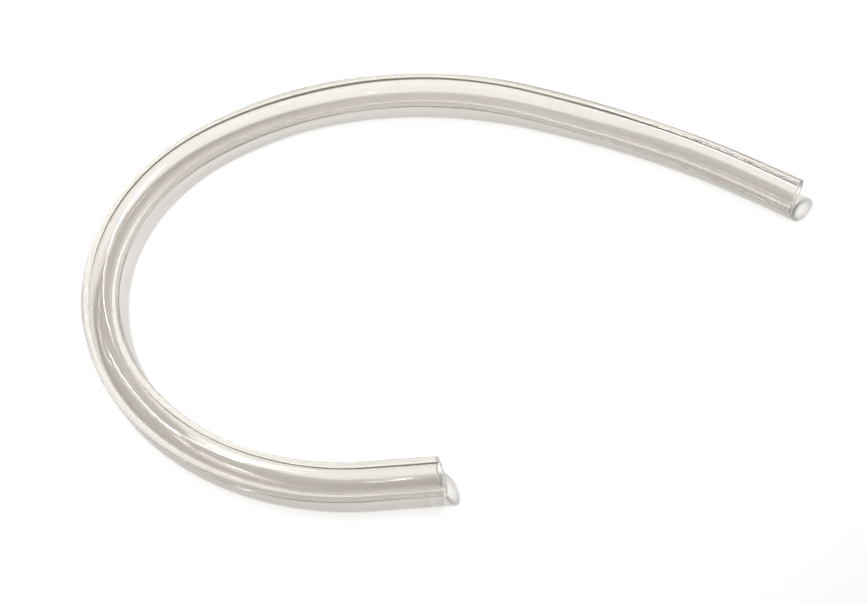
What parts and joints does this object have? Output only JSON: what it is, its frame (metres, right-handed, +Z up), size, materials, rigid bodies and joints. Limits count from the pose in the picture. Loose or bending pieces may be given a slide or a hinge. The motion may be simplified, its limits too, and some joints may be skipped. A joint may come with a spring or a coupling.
{
  "type": "siphon hose",
  "caption": "Bare length of clear flexible siphon hose with a round bore, lying flat in an open loop, both ends cut off square.",
  "frame": {"origin": "on the surface that the hose lies on, under the middle of the box round the loop", "axes": "+X towards the open side of the loop, +Z up from the surface, +Y towards the upper arm of the loop"},
  "size_m": [0.2156, 0.1624, 0.011],
  "materials": {
    "clear_hose": "clear soft plastic with a smooth, glossy skin and a slightly warm grey tint"
  },
  "bodies": {
    "root": {"siphon_hose": "clear_hose"}
  },
  "joints": []
}
